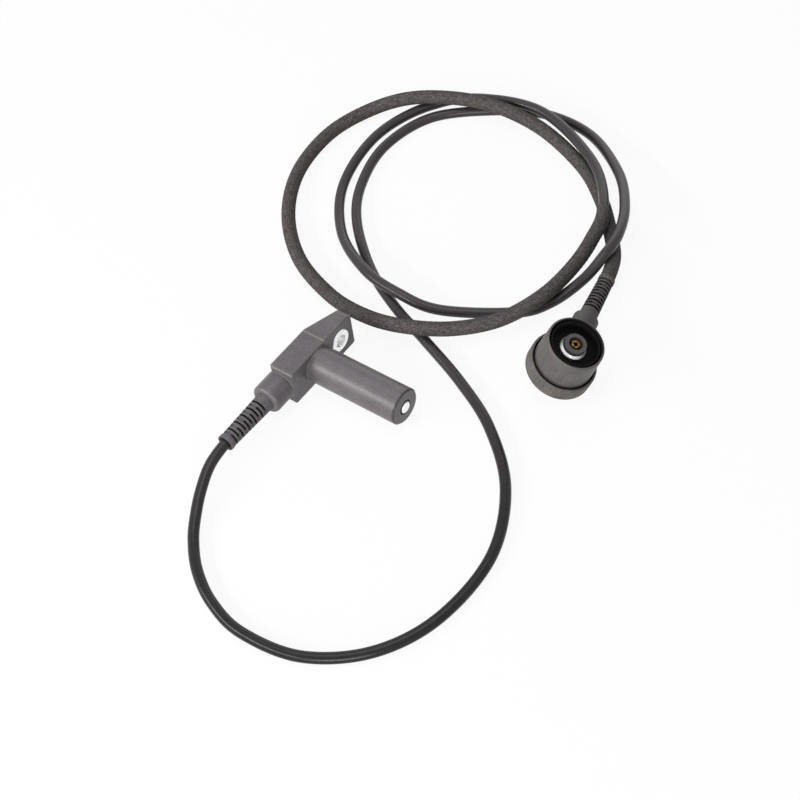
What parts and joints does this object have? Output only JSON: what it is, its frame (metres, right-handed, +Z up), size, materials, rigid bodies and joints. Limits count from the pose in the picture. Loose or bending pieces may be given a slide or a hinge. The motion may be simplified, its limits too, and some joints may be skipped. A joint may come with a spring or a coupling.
{
  "type": "crankshaft position sensor",
  "caption": "Inductive crankshaft position sensor: round probe, head block with bushed fixing ear, and a long coaxial lead with a braided sleeve and a right-angle round plug.",
  "frame": {"origin": "centre of the probe where it leaves the seating face", "axes": "+X along the probe towards its tip, +Y towards the fixing ear, +Z up from the surface that the sensor lies on"},
  "size_m": [0.2289, 0.3367, 0.0337],
  "materials": {
    "housing_plastic": "fine matte moulding",
    "bush_steel": "bright turned",
    "pole_steel": "bright turned",
    "bobbin_plastic": "matte black",
    "winding_copper": "copper",
    "magnet_iron": "sintered",
    "terminal_brass": "plain",
    "ferrule_steel": "plated",
    "core_plastic": "natural white",
    "relief_rubber": "matte grey",
    "lead_jacket": "smooth dark grey",
    "sleeve_braid": "fine dark braid",
    "plug_plastic": "fine matte moulding",
    "seal_rubber": "matte black",
    "ring_plated": "plated",
    "insulator_plastic": "matte grey",
    "contact_brass": "plain"
  },
  "bodies": {
    "root": {"sensor_housing": "housing_plastic", "mounting_bush": "bush_steel", "pole_pin": "pole_steel", "coil_bobbin": "bobbin_plastic", "coil_winding": "winding_copper", "magnet": "magnet_iron", "signal_terminal": "terminal_brass", "screen_terminal": "terminal_brass", "sensor_ferrule": "ferrule_steel", "sensor_core": "core_plastic", "sensor_wire": "winding_copper", "sensor_boot": "relief_rubber", "signal_cable": "lead_jacket", "sleeved_cable": "sleeve_braid", "plug_shell": "plug_plastic", "plug_cap": "plug_plastic", "plug_boot": "relief_rubber", "plug_seal": "seal_rubber", "contact_ring": "ring_plated", "contact_insulator": "insulator_plastic", "centre_contact": "contact_brass", "plug_ferrule": "ferrule_steel", "plug_core": "core_plastic", "plug_wire": "winding_copper"}
  },
  "joints": []
}
